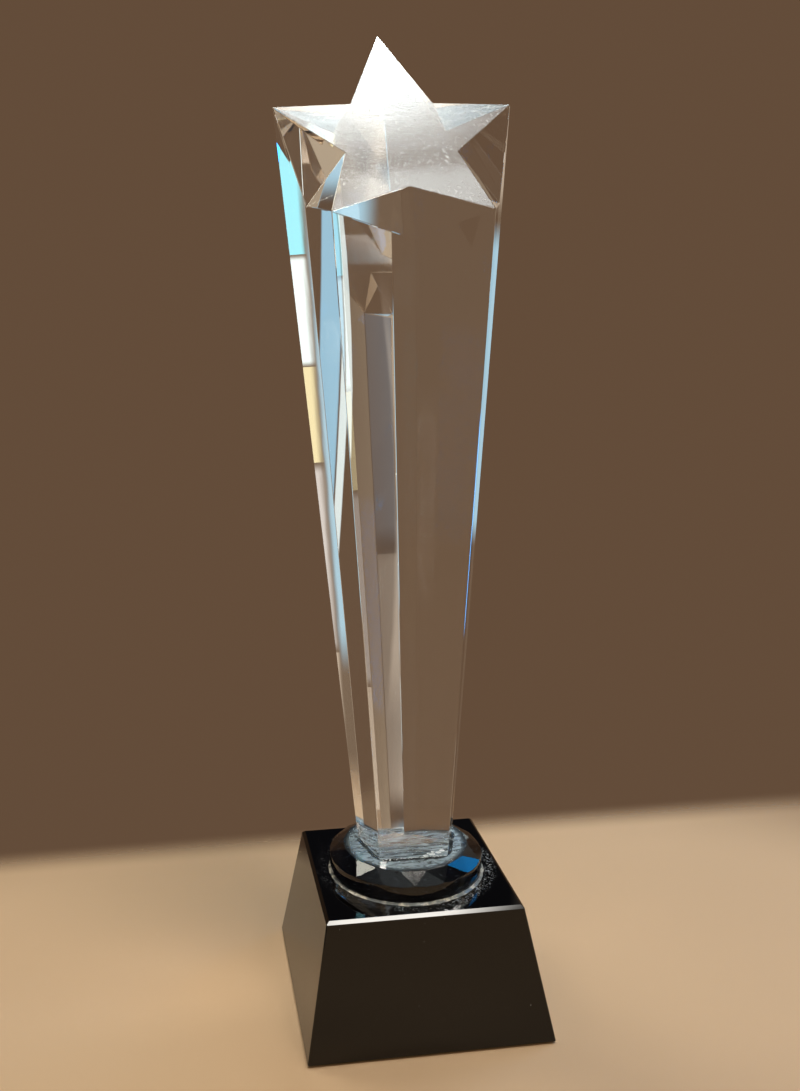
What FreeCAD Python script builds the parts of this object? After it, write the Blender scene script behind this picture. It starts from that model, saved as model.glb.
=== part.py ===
import FreeCAD, Part
import Sketcher
import os

# Star-topped crystal award. The frame has +Z up, -Y to the front, and its origin at the centre of the
# underside. Lengths are millimetres and angles are degrees.
#
# Three blocks are glued face to face: a black base, a clear faceted disc and a clear star column. Each
# block, each film of adhesive and the sheet under the base is a body of its own.

SIZES = {
    # Protective sheet under the base
    "pad_width": 74.0,
    "pad_thickness": 0.6,
    "pad_corner": 3.0,
    # Black base: a square pyramid cut off at the top
    "base_bottom_width": 80.0,
    "base_top_width": 64.0,
    "base_height": 42.5,
    "top_chamfer": 0.9,
    "side_chamfer": 0.35,
    # Adhesive between base and disc, and the bead squeezed out around the disc
    "disc_glue_thickness": 0.3,
    "bead_width": 1.3,
    "bead_height": 1.1,
    "bead_clearance": 0.03,
    # Faceted disc: radii are to the corners of the table and to the wall
    "disc_radius": 26.0,
    "disc_height": 8.5,
    "table_radius": 21.3,
    "cusp_height": 5.8,
    "facet_count": 16,
    "disc_turn": -4.9,
    # Adhesive between disc and column
    "column_glue_thickness": 0.2,
    "column_glue_spread": 1.08,
    "column_glue_corner": 6.0,
    # Column section at the bottom end, by its corners, and how the column was set down on the disc
    "back_y": 17.0,
    "shoulder_x": 16.6,
    "shoulder_y": 4.9,
    "front_x": 11.4,
    "front_y": -12.7,
    "column_turn": -2.5,
    "column_shift": 0.8,
    # Star: the slanted cut, the section's growth from the bottom end up to it, and the notches' inner corners
    "star_height": 237.0,
    "star_scale": 2.31,
    "star_tilt": 43.5,
    "upper_notch_x": 13.7,
    "upper_notch_y": 12.6,
    "side_notch_x": 17.8,
    "side_notch_y": -6.6,
    "front_notch_y": -19.2,
    "valley_drop": 16.5,
}

# Section corners in order around the column, and the notch between each corner and the next.
CORNERS = [
    ("0", "Sizes.back_y"),
    ("Sizes.shoulder_x", "Sizes.shoulder_y"),
    ("Sizes.front_x", "Sizes.front_y"),
    ("-Sizes.front_x", "Sizes.front_y"),
    ("-Sizes.shoulder_x", "Sizes.shoulder_y"),
]
NOTCHES = [
    ("right_upper", "Sizes.upper_notch_x", "Sizes.upper_notch_y"),
    ("right_side", "Sizes.side_notch_x", "Sizes.side_notch_y"),
    ("front", "0", "Sizes.front_notch_y"),
    ("left_side", "-Sizes.side_notch_x", "Sizes.side_notch_y"),
    ("left_upper", "-Sizes.upper_notch_x", "Sizes.upper_notch_y"),
]

BLANK_LENGTH = "(1.2 * Sizes.star_height)"
GROWTH = "((Sizes.star_scale - 1) / Sizes.star_height)"
SLOPE = "tan(Sizes.star_tilt)"

PAD_TOP = "Sizes.pad_thickness"
BASE_TOP = f"({PAD_TOP} + Sizes.base_height)"
DISC_BOTTOM = f"({BASE_TOP} + Sizes.disc_glue_thickness)"
DISC_TOP = f"({DISC_BOTTOM} + Sizes.disc_height)"
COLUMN_BOTTOM = f"({DISC_TOP} + Sizes.column_glue_thickness)"

# Corners whose heights differ by less than this are level
LEVEL_TOLERANCE = 1e-6

doc = FreeCAD.newDocument("crystal_star_award")


def make_sheet():
    """The spreadsheet that every size comes from."""
    sheet = doc.addObject("Spreadsheet::Sheet", "Sizes")
    for row, (alias, value) in enumerate(SIZES.items(), start=1):
        sheet.set(f"A{row}", alias)
        sheet.set(f"B{row}", str(value))
        sheet.setAlias(f"B{row}", alias)
    doc.recompute()
    return sheet


sheet = make_sheet()


def number(expression):
    """What an expression comes to with the sheet's present values."""
    value = sheet.evalExpression(expression)
    return float(getattr(value, "Value", value))


def new_body(name, height, turn=None, shift=None):
    """An empty body, set at a height and optionally turned about Z and shifted along X."""
    body = doc.addObject("PartDesign::Body", name)
    body.Label = name
    body.Placement = FreeCAD.Placement(FreeCAD.Vector(), FreeCAD.Rotation(FreeCAD.Vector(0, 0, 1), 1))
    body.setExpression(".Placement.Base.z", height)
    body.setExpression(".Placement.Rotation.Angle", turn or "0")
    if shift:
        body.setExpression(".Placement.Base.x", shift)
    return body


def origin_feature(body, role):
    """One of the body's own origin planes or axes."""
    return next(item for item in body.Origin.OriginFeatures if item.Role == role)


def new_sketch(body, name, plane, lift=None, tilt_axis=None, tilt=None):
    """A sketch on an origin plane, optionally lifted off it and tilted about an axis of the sketch."""
    sketch = body.newObject("Sketcher::SketchObject", name)
    sketch.AttachmentSupport = [(origin_feature(body, plane), "")]
    sketch.MapMode = "FlatFace"
    if tilt_axis:
        sketch.AttachmentOffset = FreeCAD.Placement(FreeCAD.Vector(), FreeCAD.Rotation(tilt_axis, 1))
        sketch.setExpression(".AttachmentOffset.Rotation.Angle", tilt)
    if lift:
        sketch.setExpression(".AttachmentOffset.Base.z", lift)
    return sketch


def pin_coordinate(sketch, direction, corner, expression):
    """Holds one coordinate of a corner at an expression's value, measured from the sketch's origin."""
    value = number(expression)
    origin, start = (-1, 1), (corner, 1)
    if value < 0:
        constraint = Sketcher.Constraint(direction, *start, *origin, -value)
        expression = f"-({expression})"
    else:
        constraint = Sketcher.Constraint(direction, *origin, *start, value)
    index = sketch.addConstraint(constraint)
    if expression != "0":
        sketch.setExpression(f"Constraints[{index}]", expression)


def draw_outline(sketch, corners):
    """A closed outline of straight lines through corners given as pairs of expressions."""
    points = [FreeCAD.Vector(number(x), number(y), 0) for x, y in corners]
    count = len(points)
    for index in range(count):
        sketch.addGeometry(Part.LineSegment(points[index], points[(index + 1) % count]))
    for index in range(count):
        sketch.addConstraint(Sketcher.Constraint("Coincident", index, 2, (index + 1) % count, 1))
    for index, (x, y) in enumerate(corners):
        pin_coordinate(sketch, "DistanceX", index, x)
        pin_coordinate(sketch, "DistanceY", index, y)


def draw_square(sketch, width):
    """A square centred on the sketch's origin."""
    half = f"({width} / 2)"
    draw_outline(sketch, [(half, half), (f"-{half}", half), (f"-{half}", f"-{half}"), (half, f"-{half}")])


def scaled(corners, factor):
    """The same corners, moved out from the axis by a factor."""
    return [(f"({x}) * {factor}", f"({y}) * {factor}") for x, y in corners]


def new_pad(body, sketch, length):
    pad = body.newObject("PartDesign::Pad", f"{body.Name}_pad")
    pad.Profile = sketch
    pad.setExpression("Length", length)
    return pad


def new_draft(body, name, base, faces, angle, outward=False):
    """Leans side faces of a feature over by an angle, inward or outward, holding their lower ends in place."""
    draft = body.newObject("PartDesign::Draft", name)
    draft.Base = (base, faces)
    draft.NeutralPlane = (origin_feature(body, "XY_Plane"), [""])
    draft.Reversed = outward
    draft.setExpression("Angle", angle)
    return draft


def dress_edges(body, kind, name, base, size_name, size, wanted):
    """A chamfer or fillet on the edges of a feature that pass a test."""
    doc.recompute()
    names = [f"Edge{i}" for i, edge in enumerate(base.Shape.Edges, start=1) if wanted(edge)]
    dress = body.newObject(f"PartDesign::{kind}", name)
    dress.Base = (base, names)
    dress.setExpression(size_name, size)
    return dress


def corner_heights(shape):
    return [vertex.Point.z for vertex in shape.Vertexes]


def is_upright(shape):
    """Whether an edge or a face leaves the horizontal."""
    heights = corner_heights(shape)
    return max(heights) - min(heights) > LEVEL_TOLERANCE


def make_base_pad():
    body = new_body("base_pad", "0")
    outline = new_sketch(body, "base_pad_outline", "XY_Plane")
    draw_square(outline, "Sizes.pad_width")
    pad = new_pad(body, outline, "Sizes.pad_thickness")
    dress_edges(body, "Fillet", "base_pad_corners", pad, "Radius", "Sizes.pad_corner", is_upright)
    return body


def make_base_block():
    body = new_body("base_block", PAD_TOP)
    underside = new_sketch(body, "base_underside", "XY_Plane")
    draw_square(underside, "Sizes.base_bottom_width")
    block = new_pad(body, underside, "Sizes.base_height")
    doc.recompute()
    sides = [f"Face{i}" for i, face in enumerate(block.Shape.Faces, start=1) if is_upright(face)]
    lean = "atan((Sizes.base_bottom_width - Sizes.base_top_width) / 2 / Sizes.base_height)"
    slope = new_draft(body, "base_slope", block, sides, lean)
    height = number("Sizes.base_height")

    def is_rim(edge):
        return min(corner_heights(edge)) > height - LEVEL_TOLERANCE

    def is_lower_arris(edge):
        return min(corner_heights(edge)) < LEVEL_TOLERANCE

    rim = dress_edges(body, "Chamfer", "base_top_chamfer", slope, "Size", "Sizes.top_chamfer", is_rim)
    dress_edges(body, "Chamfer", "base_side_chamfer", rim, "Size", "Sizes.side_chamfer", is_lower_arris)
    return body


def make_disc_bond():
    body = new_body("disc_bond", BASE_TOP)
    profile = new_sketch(body, "disc_bond_profile", "XZ_Plane")
    inner = "(Sizes.disc_radius + Sizes.bead_clearance)"
    outer = "(Sizes.disc_radius + Sizes.bead_width)"
    draw_outline(
        profile,
        [
            ("0", "0"),
            (outer, "0"),
            (inner, "Sizes.bead_height"),
            (inner, "Sizes.disc_glue_thickness"),
            ("0", "Sizes.disc_glue_thickness"),
        ],
    )
    turn = body.newObject("PartDesign::Revolution", "disc_bond_turn")
    turn.Profile = profile
    turn.ReferenceAxis = (origin_feature(body, "Z_Axis"), [""])
    turn.Angle = 360
    return body


def cut_facets(body, name, turn, top_radius, wall_radius):
    """A ring of flat facets, each falling from the table at top_radius to the wall at cusp height.

    Both radii are measured along the facet's own direction. The cutter runs on past both ends.
    """
    overrun = 0.5
    fall = "(Sizes.disc_height - Sizes.cusp_height)"
    run = f"({wall_radius} - {top_radius})"
    inner = f"({top_radius} - {overrun} * {run})"
    outer = f"({wall_radius} + {overrun} * {run})"
    above = f"(Sizes.disc_height + {overrun} * {fall})"
    below = f"(Sizes.cusp_height - {overrun} * {fall})"
    profile = new_sketch(body, f"{name}_profile", "XZ_Plane", tilt_axis=FreeCAD.Vector(0, 1, 0), tilt=turn)
    draw_outline(profile, [(inner, above), (outer, below), (outer, above)])
    cut = body.newObject("PartDesign::Pocket", f"{name}_cut")
    cut.Profile = profile
    cut.Midplane = True
    cut.setExpression("Length", "2 * Sizes.disc_radius")
    ring = body.newObject("PartDesign::PolarPattern", f"{name}_ring")
    ring.Originals = [cut]
    ring.Axis = (origin_feature(body, "Z_Axis"), [""])
    ring.Angle = 360
    ring.setExpression("Occurrences", "Sizes.facet_count")
    body.Tip = ring
    return ring


def make_faceted_disc():
    body = new_body("faceted_disc", DISC_BOTTOM, turn="Sizes.disc_turn")
    outline = new_sketch(body, "disc_outline", "XY_Plane")
    radius = number("Sizes.disc_radius")
    outline.addGeometry(Part.Circle(FreeCAD.Vector(), FreeCAD.Vector(0, 0, 1), radius))
    outline.addConstraint(Sketcher.Constraint("Coincident", 0, 3, -1, 1))
    size = outline.addConstraint(Sketcher.Constraint("Radius", 0, radius))
    outline.setExpression(f"Constraints[{size}]", "Sizes.disc_radius")
    new_pad(body, outline, "Sizes.disc_height")
    half_step = "(180 / Sizes.facet_count)"
    # Triangles that stand on the table's sides and point down to the wall
    cut_facets(body, "falling_facet", "0", f"(Sizes.table_radius * cos({half_step}))", "Sizes.disc_radius")
    # Triangles between them, which point up to the table's corners
    wall_chord = f"(Sizes.disc_radius * cos({half_step}))"
    cut_facets(body, "rising_facet", half_step, "Sizes.table_radius", wall_chord)
    return body


def make_column_bond():
    body = new_body("column_bond", DISC_TOP, turn="Sizes.column_turn", shift="Sizes.column_shift")
    outline = new_sketch(body, "column_bond_outline", "XY_Plane")
    draw_outline(outline, scaled(CORNERS, "Sizes.column_glue_spread"))
    film = new_pad(body, outline, "Sizes.column_glue_thickness")
    dress_edges(body, "Fillet", "column_bond_corners", film, "Radius", "Sizes.column_glue_corner", is_upright)
    return body


def star_point(x, y):
    """A point of the slanted cut above (x, y), in the coordinates of a sketch that lies on the cut."""
    return x, f"({y}) / cos(Sizes.star_tilt)"


def star_tip(corner):
    """Where a column edge meets the slanted cut, above the section corner that it starts from."""
    x, y = corner
    factor = f"(Sizes.star_scale / (1 - {GROWTH} * {SLOPE} * ({y})))"
    return f"(({x}) * {factor})", f"(({y}) * {factor})"


def beyond(inner, tip):
    """A point past the tip on the line from a notch's inner corner, clear of the column."""
    overrun = 0.3
    return tuple(f"({t} + {overrun} * ({t} - ({i})))" for i, t in zip(inner, tip))


def cut_notch(body, name, inner, first, second):
    """A V notch between two star tips, whose valley falls from its inner corner to the column's side."""
    sketch = new_sketch(
        body,
        f"{name}_notch_outline",
        "XY_Plane",
        lift="Sizes.star_height",
        tilt_axis=FreeCAD.Vector(1, 0, 0),
        tilt="Sizes.star_tilt",
    )
    outer = [beyond(inner, star_tip(first)), beyond(inner, star_tip(second))]
    draw_outline(sketch, [star_point(*corner) for corner in [inner, *outer]])
    x, y = inner
    foot_scale = f"(1 + {GROWTH} * (Sizes.star_height + {SLOPE} * ({y}) - Sizes.valley_drop))"
    foot_x = f"(({first[0]}) + ({second[0]})) / 2 * {foot_scale}"
    foot_y = f"(({first[1]}) + ({second[1]})) / 2 * {foot_scale}"
    cut = body.newObject("PartDesign::Pocket", f"{name}_notch")
    cut.Profile = sketch
    cut.Type = "Length"
    cut.UseCustomVector = True
    cut.AlongSketchNormal = False
    cut.setExpression(".Direction.x", f"{foot_x} - ({x})")
    cut.setExpression(".Direction.y", f"{foot_y} - ({y})")
    cut.setExpression(".Direction.z", "-Sizes.valley_drop")
    cut.setExpression("Length", "4 * Sizes.valley_drop")
    return cut


def side_face(shape, side):
    """The name of the upright face that stands on one side of the column's bottom section."""
    corners = CORNERS[side], CORNERS[(side + 1) % len(CORNERS)]
    feet = [FreeCAD.Vector(number(x), number(y), 0) for x, y in corners]
    for index, face in enumerate(shape.Faces, start=1):
        points = [vertex.Point for vertex in face.Vertexes]
        if is_upright(face) and all(any(p.isEqual(foot, LEVEL_TOLERANCE) for p in points) for foot in feet):
            return f"Face{index}"
    raise RuntimeError(f"the column has no face on side {side}")


def side_lean(side):
    """How far a side of the column leans out, which keeps every section the same shape as it grows."""
    (x1, y1), (x2, y2) = CORNERS[side], CORNERS[(side + 1) % len(CORNERS)]
    length = f"sqrt((({x2}) - ({x1}))^2 + (({y2}) - ({y1}))^2)"
    distance = f"abs(({x1}) * ({y2}) - ({x2}) * ({y1})) / {length}"
    return f"atan({GROWTH} * {distance})"


def make_star_column():
    body = new_body("star_column", COLUMN_BOTTOM, turn="Sizes.column_turn", shift="Sizes.column_shift")
    foot = new_sketch(body, "column_foot", "XY_Plane")
    draw_outline(foot, CORNERS)
    blank = new_pad(body, foot, BLANK_LENGTH)
    for name, sides in (("back", [0, 4]), ("shoulder", [1, 3]), ("front", [2])):
        doc.recompute()
        faces = [side_face(blank.Shape, side) for side in sides]
        blank = new_draft(body, f"{name}_lean", blank, faces, side_lean(sides[0]), outward=True)
    # The slanted cut takes off everything above the star
    saw = new_sketch(
        body,
        "star_cut_outline",
        "XY_Plane",
        lift="Sizes.star_height",
        tilt_axis=FreeCAD.Vector(1, 0, 0),
        tilt="Sizes.star_tilt",
    )
    draw_square(saw, "Sizes.star_height")
    cut = body.newObject("PartDesign::Pocket", "star_cut")
    cut.Profile = saw
    cut.Reversed = True
    cut.setExpression("Length", "Sizes.star_height")
    for index, (name, x, y) in enumerate(NOTCHES):
        cut_notch(body, name, (x, y), CORNERS[index], CORNERS[(index + 1) % len(CORNERS)])
    return body


def check(bodies):
    """Stops the build if any object failed or any piece is not one valid solid."""
    for item in doc.Objects:
        if "Invalid" in item.State or "Error" in item.State:
            raise RuntimeError(f"{item.Label} failed: {item.State}")
    for body in bodies:
        shape = body.Shape
        if shape.isNull() or not shape.isValid() or len(shape.Solids) != 1:
            raise RuntimeError(f"{body.Label} is not one valid solid")


bodies = [
    make_base_pad(),
    make_base_block(),
    make_disc_bond(),
    make_faceted_disc(),
    make_column_bond(),
    make_star_column(),
]
doc.recompute()
check(bodies)

os.makedirs("parts", exist_ok=True)
for body in bodies:
    body.Shape.exportStep(f"parts/{body.Label}.step")
    box = body.Shape.BoundBox
    spans = f"{box.XLength:.2f} x {box.YLength:.2f} x {box.ZLength:.2f} mm"
    print(f"{body.Label}: {len(body.Shape.Faces)} faces, {body.Shape.Volume:.1f} mm3, {spans}")
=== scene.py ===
"""Looks of a clear crystal star award on a black crystal base: materials, fine geometry, studio and camera.

All lengths are metres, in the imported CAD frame: the base stands on z = 0 and the star leans towards -Y.
"""

import math
import random

import bmesh
import bpy
from mathutils import Matrix, Vector


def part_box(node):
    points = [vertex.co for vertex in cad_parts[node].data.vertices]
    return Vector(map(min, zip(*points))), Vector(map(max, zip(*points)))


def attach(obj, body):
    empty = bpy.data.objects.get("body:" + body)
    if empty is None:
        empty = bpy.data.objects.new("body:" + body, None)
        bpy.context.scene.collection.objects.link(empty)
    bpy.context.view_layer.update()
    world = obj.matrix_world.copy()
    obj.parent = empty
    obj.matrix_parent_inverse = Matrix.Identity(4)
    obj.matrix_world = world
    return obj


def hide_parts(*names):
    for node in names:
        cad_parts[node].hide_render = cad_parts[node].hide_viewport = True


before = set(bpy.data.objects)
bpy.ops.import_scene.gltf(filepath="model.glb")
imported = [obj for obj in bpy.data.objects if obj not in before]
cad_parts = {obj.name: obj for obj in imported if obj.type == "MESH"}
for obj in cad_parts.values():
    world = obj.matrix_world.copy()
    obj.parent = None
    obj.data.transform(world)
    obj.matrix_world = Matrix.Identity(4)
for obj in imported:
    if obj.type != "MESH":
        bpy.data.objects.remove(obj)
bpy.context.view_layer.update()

MM = 0.001
SCENE = bpy.context.scene

# A little under the 1.52 of optical glass: the facets under the star look closer to the photo with it.
CRYSTAL_IOR = 1.48
# Light goes straight on through a face that lies in an adhesive of the crystal's own index.
NO_REFRACTION = 1.0

# How much of a bonded face the milky swirl of its adhesive hides.
FOOT_MILKINESS = 0.5
CLEAR_MILKINESS = 0.05

# Polished rounds along the edges of the clear pieces.
COLUMN_ARRIS = 0.2 * MM
DISC_ARRIS = 0.12 * MM

# Only the star face has this many corners.
STAR_CORNERS = 10

# The haze on the disc's table is full out to the first radius and faint from the second on.
HAZE_FULL_RADIUS = 18.4 * MM
HAZE_FAINT_RADIUS = 20.6 * MM

# Dust on the base lies in a ring round the disc, mostly to the right of the axis.
DUST_RING_RADIUS = 28.2 * MM
DUST_RING_HALF_WIDTH = 3.6 * MM
LIGHT_DUST_X = -10 * MM
FULL_DUST_X = 18 * MM

# The adhesive between disc and base: a film in the middle, and a bead that reaches in under the disc's rim.
FILM_RADIUS = 23.5 * MM
FILM_WOBBLE = 1.2 * MM
FILM_CLEARANCE = 0.12 * MM
FILM_CORNERS = 72
FILM_SEED = 5
BEAD_INSET = 1.2 * MM
BEAD_SECTIONS = 360
BEAD_SKIN_STEPS = 5
BEAD_SEED = 11

# The adhesive between column and disc: the share of the gap that it fills, and the air trapped in it.
BOND_FILM_SHARE = 0.8
BUBBLE_THICKNESS = 0.3 * MM
BUBBLE_STRETCH = (1.2, 1.7)
FROTH_COUNT = 70
FROTH_CENTRE_X = 0.4 * MM
FROTH_HALF_WIDTH = 11 * MM
BUBBLE_SEED = 3

# Each large bubble's distance left of the foot's right corner, distance behind its front, and size, in mm.
LARGE_BUBBLES = (
    (7.1, 2.3, 1.5),
    (4.7, 3.7, 1.9),
    (2.2, 5.3, 1.7),
    (0.7, 7.4, 1.6),
    (4.0, 6.3, 1.0),
    (5.8, 4.9, 0.9),
)

# ------------------------------------------------------------------ shader helpers


def new_material(name):
    """A material with one Principled shader, its tree and that shader."""
    material = bpy.data.materials.new(name)
    material.use_nodes = True
    tree = material.node_tree
    shader = next(node for node in tree.nodes if node.type == "BSDF_PRINCIPLED")
    return material, tree, shader


def new_clear_material(name, ior=CRYSTAL_IOR, tint=(1.0, 1.0, 1.0)):
    """The same for a smooth material that light passes through."""
    material, tree, shader = new_material(name)
    shader.inputs["Base Color"].default_value = (*tint, 1.0)
    shader.inputs["Roughness"].default_value = 0.0
    shader.inputs["Transmission Weight"].default_value = 1.0
    shader.inputs["IOR"].default_value = ior
    return material, tree, shader


def position(tree, stretch=(1.0, 1.0, 1.0)):
    """Object coordinates in metres, stretched along each axis."""
    source = tree.nodes.new("ShaderNodeTexCoord")
    mapping = tree.nodes.new("ShaderNodeMapping")
    mapping.inputs["Scale"].default_value = stretch
    tree.links.new(source.outputs["Object"], mapping.inputs["Vector"])
    return mapping.outputs["Vector"]


def noise(tree, size, detail=4.0, roughness=0.55, stretch=(1.0, 1.0, 1.0)):
    """Noise whose main features are about one size across."""
    node = tree.nodes.new("ShaderNodeTexNoise")
    node.inputs["Scale"].default_value = 1.0 / size
    node.inputs["Detail"].default_value = detail
    node.inputs["Roughness"].default_value = roughness
    tree.links.new(position(tree, stretch), node.inputs["Vector"])
    return node.outputs["Fac"]


def remap(tree, value, low, high, to_low=0.0, to_high=1.0):
    """A value between low and high taken smoothly to another range, clamped."""
    node = tree.nodes.new("ShaderNodeMapRange")
    node.interpolation_type = "SMOOTHSTEP"
    node.inputs["From Min"].default_value = low
    node.inputs["From Max"].default_value = high
    node.inputs["To Min"].default_value = to_low
    node.inputs["To Max"].default_value = to_high
    tree.links.new(value, node.inputs["Value"])
    return node.outputs["Result"]


def maths(tree, operation, first, second=None):
    """One Math node. Either operand may be a number or a socket."""
    node = tree.nodes.new("ShaderNodeMath")
    node.operation = operation
    for socket, operand in zip(node.inputs, (first, second)):
        if isinstance(operand, (int, float)):
            socket.default_value = operand
        elif operand is not None:
            tree.links.new(operand, socket)
    return node.outputs["Value"]


def product(tree, first, *others):
    """The product of several numbers or sockets."""
    result = first
    for other in others:
        result = maths(tree, "MULTIPLY", result, other)
    return result


def blend_colours(tree, factor, first, second):
    """A mix of two colours by a factor socket. Either colour may be a tuple or a socket."""
    node = tree.nodes.new("ShaderNodeMix")
    node.data_type = "RGBA"
    tree.links.new(factor, node.inputs["Factor"])
    for letter, colour in zip("AB", (first, second)):
        if isinstance(colour, tuple):
            node.inputs[letter].default_value = (*colour, 1.0)
        else:
            tree.links.new(colour, node.inputs[letter])
    return node.outputs["Result"]


def vary_colour(tree, shader, factor, first, second):
    """Gives a shader a colour that goes from the first to the second as the factor rises."""
    tree.links.new(blend_colours(tree, factor, first, second), shader.inputs["Base Color"])


def vary_roughness(tree, shader, factor, first, second):
    """Gives a shader a roughness that goes from the first to the second as the factor rises."""
    tree.links.new(remap(tree, factor, 0.0, 1.0, first, second), shader.inputs["Roughness"])


def add_bump(tree, height, depth, normal_input):
    """Feeds a normal input with a height socket whose full range stands for a depth."""
    node = tree.nodes.new("ShaderNodeBump")
    node.inputs["Distance"].default_value = depth
    node.inputs["Strength"].default_value = 1.0
    tree.links.new(height, node.inputs["Height"])
    tree.links.new(node.outputs["Normal"], normal_input)


def add_layer(tree, shader, cover, colour, roughness):
    """Lays a thin rough layer over a shader. The cover socket says how much of each spot it hides."""
    layer = tree.nodes.new("ShaderNodeBsdfPrincipled")
    layer.inputs["Base Color"].default_value = (*colour, 1.0)
    layer.inputs["Roughness"].default_value = roughness
    mixer = tree.nodes.new("ShaderNodeMixShader")
    tree.links.new(cover, mixer.inputs["Fac"])
    tree.links.new(shader.outputs["BSDF"], mixer.inputs[1])
    tree.links.new(layer.outputs["BSDF"], mixer.inputs[2])
    output = next(node for node in tree.nodes if node.type == "OUTPUT_MATERIAL")
    tree.links.new(mixer.outputs["Shader"], output.inputs["Surface"])


def axis_parts(tree):
    """The three parts of the object position."""
    node = tree.nodes.new("ShaderNodeSeparateXYZ")
    tree.links.new(position(tree), node.inputs["Vector"])
    return node.outputs["X"], node.outputs["Y"], node.outputs["Z"]


def radius_from_axis(tree):
    """The distance from the object's upright axis."""
    x, y, _ = axis_parts(tree)
    squares = maths(tree, "ADD", product(tree, x, x), product(tree, y, y))
    return maths(tree, "SQRT", squares)


def ring_mask(tree, centre_radius, half_width):
    """1 on a circle round the award's axis, falling to 0 at a half width from it."""
    offset = maths(tree, "ABSOLUTE", maths(tree, "SUBTRACT", radius_from_axis(tree), centre_radius))
    return remap(tree, offset, 0.0, half_width, 1.0, 0.0)


# ------------------------------------------------------------------ materials


def make_crystal():
    """Clear optical crystal, with a faint polish wave and finger smears that barely blur it."""
    material, tree, shader = new_clear_material("clear_crystal")
    smears = remap(tree, noise(tree, 9 * MM, detail=6.0, stretch=(1.0, 1.0, 0.35)), 0.52, 0.75)
    vary_colour(tree, shader, smears, (1.0, 1.0, 1.0), (0.975, 0.985, 0.99))
    vary_roughness(tree, shader, smears, 0.0, 0.012)
    polish_wave = noise(tree, 14 * MM, detail=1.0)
    add_bump(tree, polish_wave, 0.004 * MM, shader.inputs["Normal"])
    return material


def make_star_face():
    """The slanted star face: crystal under a thin bloom of fine dust that catches the overhead light."""
    material, tree, shader = new_clear_material("dusty_star_face")
    shader.inputs["Coat Weight"].default_value = 1.0
    shader.inputs["Coat IOR"].default_value = 1.45
    shader.inputs["Coat Roughness"].default_value = 0.34
    grain = noise(tree, 0.9 * MM, detail=4.0, roughness=0.75, stretch=(1.0, 0.7, 0.7))
    add_bump(tree, grain, 0.03 * MM, shader.inputs["Coat Normal"])
    add_bump(tree, grain, 0.006 * MM, shader.inputs["Normal"])
    bloom = remap(tree, noise(tree, 14 * MM, detail=3.0), 0.3, 0.7, 0.25, 0.6)
    dust = product(tree, remap(tree, grain, 0.52, 0.66), bloom)
    add_layer(tree, shader, dust, (0.97, 1.0, 1.0), 0.5)
    return material


def make_black_crystal():
    """Black crystal: deep gloss, faint smears, a few specks, and dust round the bonded disc."""
    material, tree, shader = new_material("black_crystal")
    x, _, z = axis_parts(tree)
    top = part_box("base_block")[1].z
    on_top = remap(tree, z, top - 0.4 * MM, top - 0.1 * MM)
    near_ring = ring_mask(tree, DUST_RING_RADIUS, DUST_RING_HALF_WIDTH)
    rightward = remap(tree, x, LIGHT_DUST_X, FULL_DUST_X, 0.12, 1.0)
    speckle = remap(tree, noise(tree, 0.8 * MM, detail=5.0, roughness=0.8), 0.53, 0.6)
    patches = remap(tree, noise(tree, 3.5 * MM, detail=4.0, roughness=0.65), 0.38, 0.6)
    ring_dust = product(tree, near_ring, speckle, patches, on_top, rightward)
    specks = remap(tree, noise(tree, 1.5 * MM, detail=2.0), 0.76, 0.8)
    all_dust = maths(tree, "ADD", ring_dust, product(tree, specks, 0.35))
    dust = maths(tree, "MINIMUM", all_dust, 1.0)
    vary_colour(tree, shader, dust, (0.0012, 0.001, 0.001), (0.5, 0.52, 0.54))
    smears = remap(tree, noise(tree, 12 * MM, detail=6.0, stretch=(1.0, 1.0, 0.5)), 0.5, 0.8)
    smear_blur = remap(tree, smears, 0.0, 1.0, 0.0, 0.025)
    dust_blur = product(tree, dust, 0.4)
    tree.links.new(maths(tree, "ADD", smear_blur, dust_blur), shader.inputs["Roughness"])
    shader.inputs["IOR"].default_value = CRYSTAL_IOR
    polish_wave = noise(tree, 22 * MM, detail=1.5)
    add_bump(tree, polish_wave, 0.012 * MM, shader.inputs["Normal"])
    return material


def make_bead():
    """Set adhesive squeezed out round the disc: cloudy, wet-looking, uneven. Its cream is partly the
    adhesive's own cloud and partly a painted highlight for the light its wet surface catches.
    """
    material, tree, shader = new_material("cloudy_adhesive_and_highlight")
    cloud = remap(tree, noise(tree, 3.5 * MM, detail=6.0), 0.38, 0.62)
    # Cloudy adhesive whose cream end is partly a painted highlight.
    vary_colour(tree, shader, cloud, (0.22, 0.25, 0.26), (0.82, 0.79, 0.68))
    vary_roughness(tree, shader, cloud, 0.08, 0.35)
    shader.inputs["Transmission Weight"].default_value = 0.2
    shader.inputs["IOR"].default_value = 1.49
    lumps = noise(tree, 1.2 * MM, detail=4.0)
    add_bump(tree, lumps, 0.04 * MM, shader.inputs["Normal"])
    return material


def make_film():
    """Set adhesive between disc and base: pale and swirled. The black bonded face hides most of it."""
    material, tree, shader = new_material("pale_adhesive_patch")
    streaks = noise(tree, 3.0 * MM, detail=8.0, roughness=0.7, stretch=(0.5, 1.5, 1.0))
    swirl = remap(tree, streaks, 0.38, 0.62)
    vary_colour(tree, shader, swirl, (0.28, 0.45, 0.55), (0.75, 0.88, 0.95))
    vary_roughness(tree, shader, swirl, 0.2, 0.5)
    return material


def make_bonded_face(name, milkiness):
    """A face glued to crystal: light goes straight on past a thin milky swirl."""
    material, tree, shader = new_clear_material(name, NO_REFRACTION, (0.97, 0.98, 0.99))
    swirl = noise(tree, 3.2 * MM, detail=8.0, roughness=0.72, stretch=(0.45, 1.6, 1.0))
    cover = remap(tree, swirl, 0.36, 0.64, 0.2 * milkiness, milkiness)
    add_layer(tree, shader, cover, (0.78, 0.93, 1.0), 0.6)
    return material


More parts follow.
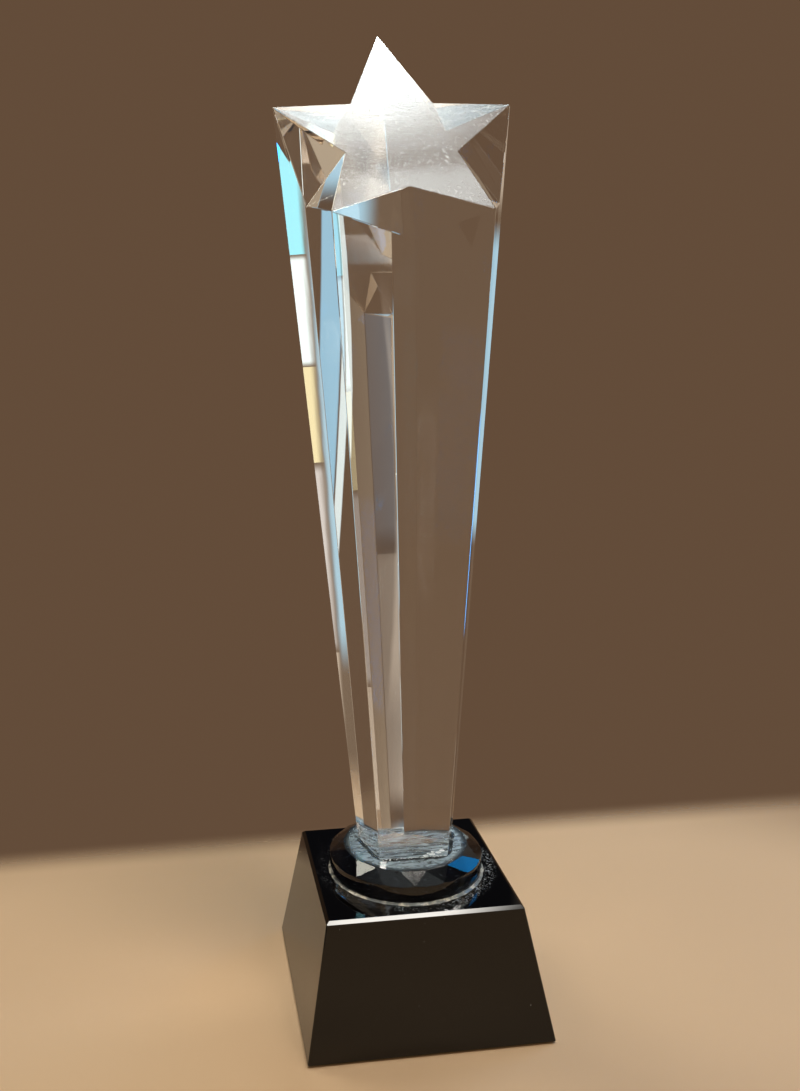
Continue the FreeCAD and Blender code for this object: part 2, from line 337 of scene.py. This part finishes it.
def make_hazed_table():
    """The disc's flat top round the column's foot: crystal under a pale haze of squeezed-out adhesive."""
    material, tree, shader = new_clear_material("hazed_crystal")
    swirl = noise(tree, 2.6 * MM, detail=8.0, roughness=0.72, stretch=(0.6, 1.5, 1.0))
    haze = remap(tree, swirl, 0.36, 0.62, 0.16, 0.46)
    near_foot = remap(tree, radius_from_axis(tree), HAZE_FULL_RADIUS, HAZE_FAINT_RADIUS, 1.0, 0.15)
    add_layer(tree, shader, product(tree, haze, near_foot), (0.68, 0.86, 0.97), 0.5)
    return material


def make_face_on_black():
    """The disc's underside, glued to the black base: black with a few faint traces of adhesive."""
    material, tree, shader = new_material("bonded_to_black")
    traces = remap(tree, noise(tree, 2.4 * MM, detail=7.0, roughness=0.7), 0.54, 0.74)
    vary_colour(tree, shader, traces, (0.003, 0.003, 0.004), (0.05, 0.06, 0.07))
    shader.inputs["IOR"].default_value = NO_REFRACTION
    shader.inputs["Roughness"].default_value = 0.5
    return material


def make_bubble_skin():
    """Trapped air seen through the crystal: a slightly frosted skin whose near-white colour is a painted
    highlight for the light that the air reflects back into the crystal.
    """
    material, tree, shader = new_material("bubble_painted_highlight")
    cloud = remap(tree, noise(tree, 0.5 * MM), 0.3, 0.7)
    # Painted highlight: the near-white colour stands in for the light that the trapped air reflects.
    vary_colour(tree, shader, cloud, (0.85, 0.88, 0.9), (1.0, 1.0, 1.0))
    vary_roughness(tree, shader, cloud, 0.15, 0.4)
    shader.inputs["Transmission Weight"].default_value = 0.1
    shader.inputs["IOR"].default_value = 1.3
    return material


def make_felt():
    """Thin black felt: short fibres over a soft mottle."""
    material, tree, shader = new_material("black_felt")
    fibre = noise(tree, 0.4 * MM, detail=6.0, roughness=0.8, stretch=(1.0, 0.3, 1.0))
    vary_colour(tree, shader, fibre, (0.006, 0.006, 0.006), (0.035, 0.034, 0.033))
    shader.inputs["Roughness"].default_value = 0.95
    shader.inputs["Sheen Weight"].default_value = 0.3
    add_bump(tree, fibre, 0.15 * MM, shader.inputs["Normal"])
    return material


# ------------------------------------------------------------------ mesh helpers

HEIGHT_TOLERANCE = 0.01 * MM


def cad_copy(node, name):
    """A new mesh with a CAD node's shape, its flat faces whole again and its shared edges welded."""
    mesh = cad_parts[node].data.copy()
    mesh.name = name
    mesh.materials.clear()
    shape = bmesh.new()
    shape.from_mesh(mesh)
    bmesh.ops.remove_doubles(shape, verts=shape.verts, dist=0.001 * MM)
    bmesh.ops.dissolve_limit(shape, angle_limit=math.radians(0.4), verts=shape.verts, edges=shape.edges)
    bmesh.ops.recalc_face_normals(shape, faces=shape.faces)
    return mesh, shape


def finish_shape(shape, mesh):
    """Writes an edited shape to its mesh and lets go of it."""
    shape.to_mesh(mesh)
    shape.free()


def add_piece(name, mesh, materials, slot_name, *replaced):
    """Links a mesh into the scene as a piece of the award."""
    piece = bpy.data.objects.new(name, mesh)
    SCENE.collection.objects.link(piece)
    for material in materials:
        mesh.materials.append(material)
    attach(piece, "root")
    if replaced:
        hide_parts(*replaced)
    return piece


def round_edges(piece, width):
    """A narrow polished round along every edge."""
    bevel = piece.modifiers.new("polished_arris", "BEVEL")
    bevel.width = width
    bevel.segments = 2
    bevel.limit_method = "ANGLE"
    bevel.angle_limit = math.radians(8)
    bevel.use_clamp_overlap = True


def is_at_height(face, z):
    """Whether a face lies flat at a height."""
    return all(abs(vertex.co.z - z) < HEIGHT_TOLERANCE for vertex in face.verts)


def rim_at_height(node, z):
    """The corners of a CAD node's convex outline at a height, in order round its middle."""
    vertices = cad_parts[node].data.vertices
    flat = {(round(v.co.x, 7), round(v.co.y, 7)) for v in vertices if abs(v.co.z - z) < HEIGHT_TOLERANCE}
    middle_x = sum(x for x, _ in flat) / len(flat)
    middle_y = sum(y for _, y in flat) / len(flat)
    return sorted(flat, key=lambda point: math.atan2(point[1] - middle_y, point[0] - middle_x))


def wavy_circle(radius, wobble, count, seed):
    """Points on an uneven circle, smooth enough for a line of set adhesive."""
    rng = random.Random(seed)
    waves = []
    for order in (2, 3, 5, 8, 13):
        phase = rng.uniform(0, math.tau)
        waves.append((order, phase, rng.uniform(0.4, 1.0) / order ** 0.5))
    points = []
    for index in range(count):
        angle = math.tau * index / count
        swing = sum(size * math.sin(order * angle + phase) for order, phase, size in waves) / len(waves)
        reach = radius + wobble * swing
        points.append((reach * math.cos(angle), reach * math.sin(angle)))
    return points


def split_flat_face(shape, z, outline, inner_slot):
    """Cuts an outline into the flat face at a height and gives the inside a material slot.

    Returns the faces between the outline and the old rim.
    """
    face = max((f for f in shape.faces if is_at_height(f, z)), key=lambda f: f.calc_area())
    upward = face.normal.z > 0
    rim = list(face.edges)
    bmesh.ops.delete(shape, geom=[face], context="FACES_ONLY")
    corners = [shape.verts.new((x, y, z)) for x, y in outline]
    edges = [shape.edges.new(pair) for pair in zip(corners, corners[1:] + corners[:1])]
    filled = bmesh.ops.triangle_fill(shape, edges=rim + edges, use_beauty=True)["geom"]
    inner = shape.faces.new(corners if upward else corners[::-1])
    inner.material_index = inner_slot
    bmesh.ops.recalc_face_normals(shape, faces=shape.faces)
    return [item for item in filled if isinstance(item, bmesh.types.BMFace)]


def add_ring(shape, profile_at, count):
    """A closed ring round the axis. Its cross-section at an angle is a list of (radius, height)."""
    loops = []
    for index in range(count):
        angle = math.tau * index / count
        across, along = math.cos(angle), math.sin(angle)
        loops.append([shape.verts.new((r * across, r * along, z)) for r, z in profile_at(angle)])
    for here, after in zip(loops, loops[1:] + loops[:1]):
        for one in range(len(here)):
            two = (one + 1) % len(here)
            face = shape.faces.new((here[one], after[one], after[two], here[two]))
            face.smooth = True


def add_blob(shape, centre, size, turn):
    """A low rounded blob. The size is its length, width and height."""
    grown = bmesh.ops.create_icosphere(shape, subdivisions=2, radius=0.5)
    scale = Matrix.Diagonal((*size, 1.0))
    place = Matrix.Translation(centre) @ Matrix.Rotation(turn, 4, "Z") @ scale
    bmesh.ops.transform(shape, matrix=place, verts=grown["verts"])
    for face in {face for vertex in grown["verts"] for face in vertex.link_faces}:
        face.smooth = True


def wave_sum(angle, waves):
    """The sum of some sine waves round a circle, each given by its count round the circle and its phase."""
    return sum(math.sin(count * angle + phase) for count, phase in waves)


# ------------------------------------------------------------------ pieces


def make_star_column(crystal, bonded, star_face):
    """The column, glued at its foot and dusty on the slanted star face at its top."""
    materials = [crystal, bonded, star_face]
    mesh, shape = cad_copy("star_column", "star_column_glass")
    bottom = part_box("star_column")[0].z
    for face in shape.faces:
        if is_at_height(face, bottom):
            face.material_index = materials.index(bonded)
        elif len(face.verts) >= STAR_CORNERS:
            face.material_index = materials.index(star_face)
    finish_shape(shape, mesh)
    piece = add_piece("star_column_glass", mesh, materials, "clear_crystal", "star_column")
    round_edges(piece, COLUMN_ARRIS)


def make_disc(crystal, clear, hazed, on_black):
    """The disc, glued to the column above and to the base below, its table hazed round the column."""
    materials = [crystal, clear, hazed, on_black]
    mesh, shape = cad_copy("faceted_disc", "faceted_disc_glass")
    low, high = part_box("faceted_disc")
    bond_outline = rim_at_height("column_bond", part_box("column_bond")[0].z)
    for face in split_flat_face(shape, high.z, bond_outline, materials.index(clear)):
        face.material_index = materials.index(hazed)
    for face in shape.faces:
        if is_at_height(face, low.z):
            face.material_index = materials.index(on_black)
    finish_shape(shape, mesh)
    piece = add_piece("faceted_disc_glass", mesh, materials, "clear_crystal", "faceted_disc")
    round_edges(piece, DISC_ARRIS)


def make_bond_film(clear):
    """The adhesive under the column, a hair thinner than its gap so that no faces coincide."""
    mesh, shape = cad_copy("column_bond", "bond_film")
    low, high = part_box("column_bond")
    middle = (low.z + high.z) / 2
    for vertex in shape.verts:
        vertex.co.z = middle + BOND_FILM_SHARE * (vertex.co.z - middle)
    finish_shape(shape, mesh)
    add_piece("bond_film", mesh, [clear], "clear_adhesive", "column_bond")


def make_adhesive_ring(bead):
    """The uneven bead squeezed out round the disc, fuller at the front."""
    floor_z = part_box("disc_bond")[0].z
    disc_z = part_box("faceted_disc")[0].z
    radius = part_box("faceted_disc")[1].x
    rng = random.Random(BEAD_SEED)
    slow_waves = [(count, rng.uniform(0, math.tau)) for count in (2, 3)]
    quick_waves = [(count, rng.uniform(0, math.tau)) for count in (17, 29, 47)]
    skin_turns = [math.radians(90 * step / BEAD_SKIN_STEPS) for step in range(BEAD_SKIN_STEPS + 1)]
    inner = radius - BEAD_INSET

    def profile(angle):
        """The bead's cross-section at an angle round the axis."""
        slow = wave_sum(angle, slow_waves)
        quick = wave_sum(angle, quick_waves)
        at_front = max(0.0, -math.sin(angle)) ** 2
        width = (0.5 + 0.5 * at_front + 0.1 * slow + 0.06 * quick) * MM
        height = (0.36 + 0.35 * at_front + 0.06 * slow + 0.04 * quick) * MM
        skin = []
        for turn in skin_turns:
            skin.append((radius + width * (1 - math.sin(turn)), floor_z + height * (1 - math.cos(turn))))
        return [(inner, floor_z), *skin, (radius, disc_z), (inner, disc_z)]

    mesh = bpy.data.meshes.new("adhesive_ring")
    shape = bmesh.new()
    add_ring(shape, profile, BEAD_SECTIONS)
    bmesh.ops.recalc_face_normals(shape, faces=shape.faces)
    finish_shape(shape, mesh)
    add_piece("adhesive_ring", mesh, [bead], "clear_adhesive", "disc_bond")


def make_adhesive_film(film):
    """The film of adhesive between disc and base, inside the bead."""
    floor_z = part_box("disc_bond")[0].z
    top_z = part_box("faceted_disc")[0].z - FILM_CLEARANCE
    mesh = bpy.data.meshes.new("adhesive_patch")
    shape = bmesh.new()
    outline = wavy_circle(FILM_RADIUS, FILM_WOBBLE, FILM_CORNERS, FILM_SEED)
    lower = [shape.verts.new((x, y, floor_z)) for x, y in outline]
    upper = [shape.verts.new((x, y, top_z)) for x, y in outline]
    shape.faces.new(lower[::-1])
    shape.faces.new(upper)
    for index in range(len(outline)):
        after = (index + 1) % len(outline)
        shape.faces.new((lower[index], lower[after], upper[after], upper[index]))
    finish_shape(shape, mesh)
    add_piece("adhesive_patch", mesh, [film], "clear_adhesive", "disc_bond")


def make_bond_bubbles(skin):
    """Air trapped at the column's foot: a few larger bubbles at the front right, and a fine froth."""
    foot_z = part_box("column_bond")[1].z
    rim = rim_at_height("star_column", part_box("star_column")[0].z)
    front_y = min(y for _, y in rim)
    right_x = max(x for x, y in rim if y < front_y + 3 * MM)
    rng = random.Random(BUBBLE_SEED)
    mesh = bpy.data.meshes.new("bond_bubbles")
    shape = bmesh.new()
    for left, back, size in LARGE_BUBBLES:
        centre = (right_x - left * MM, front_y + back * MM, foot_z)
        length, width = (stretch * size * MM for stretch in BUBBLE_STRETCH)
        add_blob(shape, centre, (length, width, BUBBLE_THICKNESS), rng.uniform(-0.3, 0.3))
    for _ in range(FROTH_COUNT):
        x = FROTH_CENTRE_X + rng.uniform(-1.0, 1.0) * FROTH_HALF_WIDTH
        y = front_y + rng.uniform(0.2, 1.6) * MM
        length = rng.uniform(0.2, 0.55) * MM
        size = (length, 0.8 * length, 0.8 * BUBBLE_THICKNESS)
        add_blob(shape, (x, y, foot_z), size, rng.uniform(0, math.pi))
    finish_shape(shape, mesh)
    add_piece("bond_bubbles", mesh, [skin], "clear_adhesive")


def dress_node(node, material):
    """Gives a CAD node its only material."""
    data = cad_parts[node].data
    data.materials.clear()
    data.materials.append(material)


def make_award():
    """Every piece and its material."""
    crystal = make_crystal()
    swirled = make_bonded_face("swirled_adhesive", FOOT_MILKINESS)
    make_star_column(crystal, swirled, make_star_face())
    clear = make_bonded_face("clear_adhesive_face", CLEAR_MILKINESS)
    make_disc(crystal, clear, make_hazed_table(), make_face_on_black())
    make_bond_film(clear)
    make_adhesive_ring(make_bead())
    make_adhesive_film(make_film())
    make_bond_bubbles(make_bubble_skin())
    dress_node("base_block", make_black_crystal())
    dress_node("base_pad", make_felt())


# ------------------------------------------------------------------ studio lights

CREAM = (1.0, 0.84, 0.66)
SOFT_WHITE = (1.0, 0.98, 0.95)
WARM = (1.0, 0.95, 0.88)
PALE_YELLOW = (1.0, 0.98, 0.84)
YELLOW = (1.0, 0.88, 0.48)
COOL = (0.93, 1.0, 1.0)
WHITE_BLUE = (0.84, 1.0, 1.0)
GREY_BLUE = (0.78, 0.9, 1.0)
PALE_BLUE = (0.38, 0.78, 1.0)
SKY_BLUE = (0.32, 0.74, 1.0)
CYAN = (0.2, 0.85, 1.0)
DEEP_BLUE = (0.02, 0.38, 1.0)

DOWN = (0.0, 0.0, -1.0)
LAMP_HEIGHT = 1.3

# How far the side panels stand from the award's axis.
NEAR = 0.34
FAR = 0.7

# The coloured stack at the right, from the floor up: name, bottom, top, radiance and colour.
RIGHT_STACK = (
    ("right_low", 0.0, 0.08, 0.95, CREAM),
    ("right_grey", 0.08, 0.2, 0.66, SOFT_WHITE),
    ("right_yellow", 0.2, 0.27, 1.0, YELLOW),
    ("right_white", 0.27, 0.34, 1.3, WHITE_BLUE),
    ("right_cyan", 0.34, 0.43, 1.25, CYAN),
)
STACK_OVERLAP = 3 * MM
# The lean in degrees of the narrow panels at the rear.
TILT = 5


def bearing(azimuth, elevation=0.0):
    """A direction: azimuth in degrees from +Y towards +X, elevation in degrees up."""
    turn, lift = math.radians(azimuth), math.radians(elevation)
    return Vector((math.sin(turn) * math.cos(lift), math.cos(turn) * math.cos(lift), math.sin(lift)))


def feather(tree, coordinate, width):
    """Rises from 0 at both ends of a 0 to 1 coordinate to 1 at a width from them."""
    rise = remap(tree, coordinate, 0.0, width)
    fall = remap(tree, coordinate, 1.0 - width, 1.0, 1.0, 0.0)
    return product(tree, rise, fall)


def add_panel(name, place, facing, size, radiance, colour, soft=(0.25, 0.25), roll=0.0):
    """A light panel unseen by the camera. Its radiance doesn't depend on its size.

    The soft pair says how far the edges fade, as shares of its width and height.
    """
    light = bpy.data.lights.new(name, "AREA")
    light.shape = "RECTANGLE"
    light.size, light.size_y = size
    light.energy = radiance * size[0] * size[1] * math.pi
    light.color = colour
    light.use_nodes = True
    tree = light.node_tree
    emission = next(node for node in tree.nodes if node.type == "EMISSION")
    across = tree.nodes.new("ShaderNodeSeparateXYZ")
    tree.links.new(tree.nodes.new("ShaderNodeNewGeometry").outputs["Parametric"], across.inputs["Vector"])
    edges = [feather(tree, across.outputs[axis], width) for axis, width in zip("XY", soft)]
    tree.links.new(product(tree, *edges), emission.inputs["Strength"])
    panel = bpy.data.objects.new(name, light)
    SCENE.collection.objects.link(panel)
    aim = Vector(facing).to_track_quat("-Z", "Y").to_matrix().to_4x4()
    panel.matrix_world = Matrix.Translation(place) @ aim @ Matrix.Rotation(math.radians(roll), 4, "Z")
    panel.visible_camera = False


def add_high_panel(name, distance, direction, size, radiance, colour, soft=(0.25, 0.25)):
    """A panel up in a direction from the award's foot, facing it."""
    add_panel(name, distance * direction, -direction, size, radiance, colour, soft)


def add_side_panel(name, stand, width, span, radiance, colour, soft=(0.1, 0.08), roll=0.0):
    """An upright panel that faces the award's axis.

    The stand is its azimuth, its distance and its offset to the right as seen from the award. The span is
    the heights of its lower and upper edge.
    """
    azimuth, distance, offset = stand
    bottom, top = span
    outward = bearing(azimuth)
    rightward = bearing(azimuth + 90)
    place = distance * outward + offset * rightward + Vector((0.0, 0.0, (bottom + top) / 2))
    add_panel(name, place, -outward, (width, top - bottom), radiance, colour, soft, roll)


def make_high_lights():
    """Lights above the award: the star's glow, the base's front edge and two facets of the disc."""
    add_panel("star_lamp", (0.145, 0.33, LAMP_HEIGHT), DOWN, (0.38, 0.34), 22.0, COOL, (0.49, 0.49))
    add_panel("star_fill", (0.21, 0.11, LAMP_HEIGHT), DOWN, (0.28, 0.3), 4.6, COOL, (0.3, 0.4))
    add_panel("overhead_fill", (0.0, -0.05, 1.4), DOWN, (1.5, 1.2), 0.6, COOL, (0.2, 0.2))
    add_panel("front_overhead", (0.25, -0.40, LAMP_HEIGHT), (-0.15, 0.25, -1), (0.5, 0.3), 24.0, WARM)
    add_high_panel("left_high", 1.0, bearing(-42, 55), (0.4, 0.32), 9.5, PALE_YELLOW)
    add_high_panel("disc_glint", 0.6, bearing(64, 41), (0.2, 0.2), 4.5, DEEP_BLUE, (0.1, 0.1))


def make_side_lights():
    """Upright panels for the windows and shelves of the room, which show as strips in the column."""
    add_side_panel("rear_cream", (27, FAR, 0.0), 0.17, (0.31, 0.64), 0.38, CREAM, (0.15, 0.1))
    add_side_panel("rear_grey", (27, FAR, 0.0), 0.2, (0.62, 1.15), 0.2, GREY_BLUE, (0.15, 0.1))
    for name, bottom, top, radiance, colour in RIGHT_STACK:
        span = (bottom - STACK_OVERLAP, top + STACK_OVERLAP)
        add_side_panel(name, (100, NEAR, 0.015), 0.068, span, radiance, colour, (0.08, 0.06))
    add_side_panel("right_blue", (100, 0.345, -0.027), 0.02, (0.06, 0.43), 0.8, PALE_BLUE, (0.2, 0.1))
    add_side_panel("rim_blue", (24, FAR, 0.0), 0.17, (0.0, 0.31), 0.8, PALE_BLUE, (0.2, 0.1))
    tall, short = (0.05, 0.42), (0.22, 0.42)
    add_side_panel("rear_blue", (40, NEAR, -0.031), 0.018, tall, 0.75, SKY_BLUE, (0.1, 0.15), TILT)
    add_side_panel("rear_white", (40, NEAR, -0.0185), 0.007, tall, 0.9, WHITE_BLUE, (0.15, 0.1), TILT)
    add_side_panel("rear_thin_blue", (40, NEAR, -0.0115), 0.0025, short, 0.6, PALE_BLUE, (0.15, 0.1), TILT)
    add_side_panel("rear_beige", (51, NEAR, 0.0), 0.08, (0.0, 0.3), 0.3, CREAM, (0.1, 0.2))


# ------------------------------------------------------------------ backdrop and floor

WALL_BROWN = (0.125, 0.073, 0.042)
WALL_SHADE = (0.02, 0.02, 0.025)
ROOM_CREAM = (0.46, 0.36, 0.25)

# The upward part of a direction, where the wall starts to darken and where it is darkest.
SHADE_START = 0.29
SHADE_END = 0.42
# The forward part of a direction where the pale room has wholly taken over from the wall.
ROOM_FULL = -0.6

FLOOR_COLOUR = (0.63, 0.425, 0.25)
FLOOR_RADIUS = 0.6
FLOOR_MIDDLE_Y = -0.16
# Painted pool of light: between these distances from the floor's middle, the floor fades out to the dark
# surroundings.
LIGHT_POOL_FADE_START = 0.27
LIGHT_POOL_FADE_END = 0.42
# The floor meets the wall a little behind the base, between these two depths.
WALL_LINE_NEAR_Y = 0.098
WALL_LINE_FAR_Y = 0.122


def make_backdrop():
    """A dark brown wall behind the award, darker higher up, and a pale room in front of it."""
    world = bpy.data.worlds.new("studio")
    SCENE.world = world
    world.use_nodes = True
    tree = world.node_tree
    direction = tree.nodes.new("ShaderNodeSeparateXYZ")
    tree.links.new(tree.nodes.new("ShaderNodeTexCoord").outputs["Generated"], direction.inputs["Vector"])
    upward = remap(tree, direction.outputs["Z"], SHADE_START, SHADE_END)
    wall = blend_colours(tree, upward, WALL_BROWN, WALL_SHADE)
    towards_room = remap(tree, direction.outputs["Y"], 0.0, ROOM_FULL)
    surroundings = blend_colours(tree, towards_room, wall, ROOM_CREAM)
    tree.links.new(surroundings, tree.nodes["Background"].inputs["Color"])


def make_floor():
    """A plain pale floor that ends behind the award and fades out round it, which leaves a painted pool of
    light round the award.
    """
    mesh = bpy.data.meshes.new("floor")
    shape = bmesh.new()
    bmesh.ops.create_circle(shape, cap_ends=True, segments=96, radius=FLOOR_RADIUS)
    finish_shape(shape, mesh)
    floor = bpy.data.objects.new("floor", mesh)
    floor.location = (0.0, FLOOR_MIDDLE_Y, 0.0)
    SCENE.collection.objects.link(floor)
    material, tree, shader = new_material("pale_floor")
    _, y, _ = axis_parts(tree)
    # Painted pool of light round the award: the floor is whole near it and fades out beyond.
    fade = remap(tree, radius_from_axis(tree), LIGHT_POOL_FADE_START, LIGHT_POOL_FADE_END, 1.0, 0.0)
    near_edge = WALL_LINE_NEAR_Y - FLOOR_MIDDLE_Y
    far_edge = WALL_LINE_FAR_Y - FLOOR_MIDDLE_Y
    back_fade = remap(tree, y, near_edge, far_edge, 1.0, 0.0)
    tree.links.new(product(tree, fade, back_fade), shader.inputs["Alpha"])
    shader.inputs["Base Color"].default_value = (*FLOOR_COLOUR, 1.0)
    shader.inputs["Roughness"].default_value = 0.6
    mesh.materials.append(material)


# ------------------------------------------------------------------ camera

FOCAL_LENGTH = 36.65
SENSOR = 36.0
SHIFT_X, SHIFT_Y = 0.0917, -0.0875
CAMERA_PLACE = Vector((-74.3, -357.4, 233.4)) * MM
CAMERA_YAW, CAMERA_PITCH, CAMERA_ROLL = -6.564, 7.031, -1.382


def make_camera():
    """The photo's camera, as fitted to the award's corners."""
    data = bpy.data.cameras.new("camera")
    data.sensor_width = SENSOR
    data.lens = FOCAL_LENGTH
    data.shift_x, data.shift_y = SHIFT_X, SHIFT_Y
    data.clip_start = 0.01
    forward = bearing(-CAMERA_YAW, -CAMERA_PITCH)
    level_right = bearing(90 - CAMERA_YAW)
    level_up = level_right.cross(forward)
    roll = math.radians(CAMERA_ROLL)
    right = math.cos(roll) * level_right + math.sin(roll) * level_up
    up = right.cross(forward)
    aim = Matrix((right, up, -forward)).transposed().to_4x4()
    camera = bpy.data.objects.new("camera", data)
    SCENE.collection.objects.link(camera)
    camera.matrix_world = Matrix.Translation(CAMERA_PLACE) @ aim
    SCENE.camera = camera


def set_light_paths():
    """Light in the crystal turns many times before it leaves, so the bounce limits are high."""
    SCENE.cycles.max_bounces = 24
    SCENE.cycles.glossy_bounces = 20
    SCENE.cycles.transmission_bounces = 20
    SCENE.cycles.diffuse_bounces = 8
    SCENE.cycles.blur_glossy = 0.0
    SCENE.view_settings.view_transform = "Standard"


make_award()
make_high_lights()
make_side_lights()
make_backdrop()
make_floor()
make_camera()
set_light_paths()
